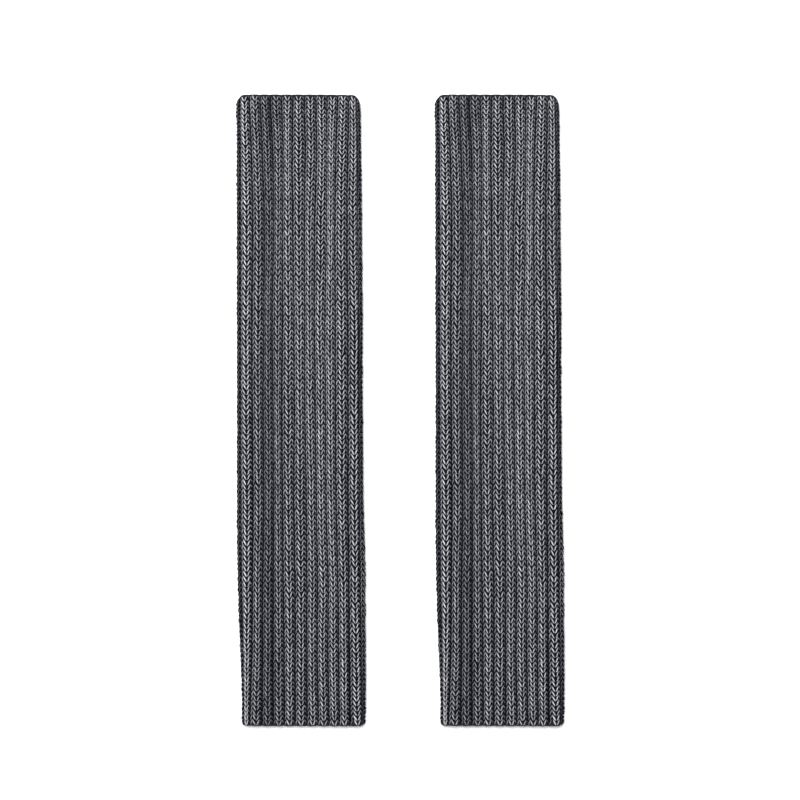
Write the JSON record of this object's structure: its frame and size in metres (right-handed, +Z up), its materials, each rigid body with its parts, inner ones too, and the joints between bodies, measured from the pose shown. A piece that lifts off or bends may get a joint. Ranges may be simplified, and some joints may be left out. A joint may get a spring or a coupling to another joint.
{
  "type": "pair of leg warmers",
  "caption": "Pair of dark grey ribbed knit leg warmers laid flat side by side: long open tubes with raised ribs running down them and a cast-on and a bind-off edge at the mouths.",
  "frame": {"origin": "on the surface that the pair lies on, at the middle of the pair's footprint", "axes": "+X across the pair to the right, +Y along the tubes towards the cast-on mouths, +Z up from the surface"},
  "size_m": [0.2342, 0.45, 0.0094],
  "materials": {
    "grey_yarn": "matt knitting yarn",
    "grey_edge_yarn": "matt knitting yarn"
  },
  "bodies": {
    "root": {"left_tube": "grey_yarn", "left_cast_on_edge": "grey_edge_yarn", "left_bind_off_edge": "grey_edge_yarn", "right_tube": "grey_yarn", "right_cast_on_edge": "grey_edge_yarn", "right_bind_off_edge": "grey_edge_yarn"}
  },
  "joints": []
}
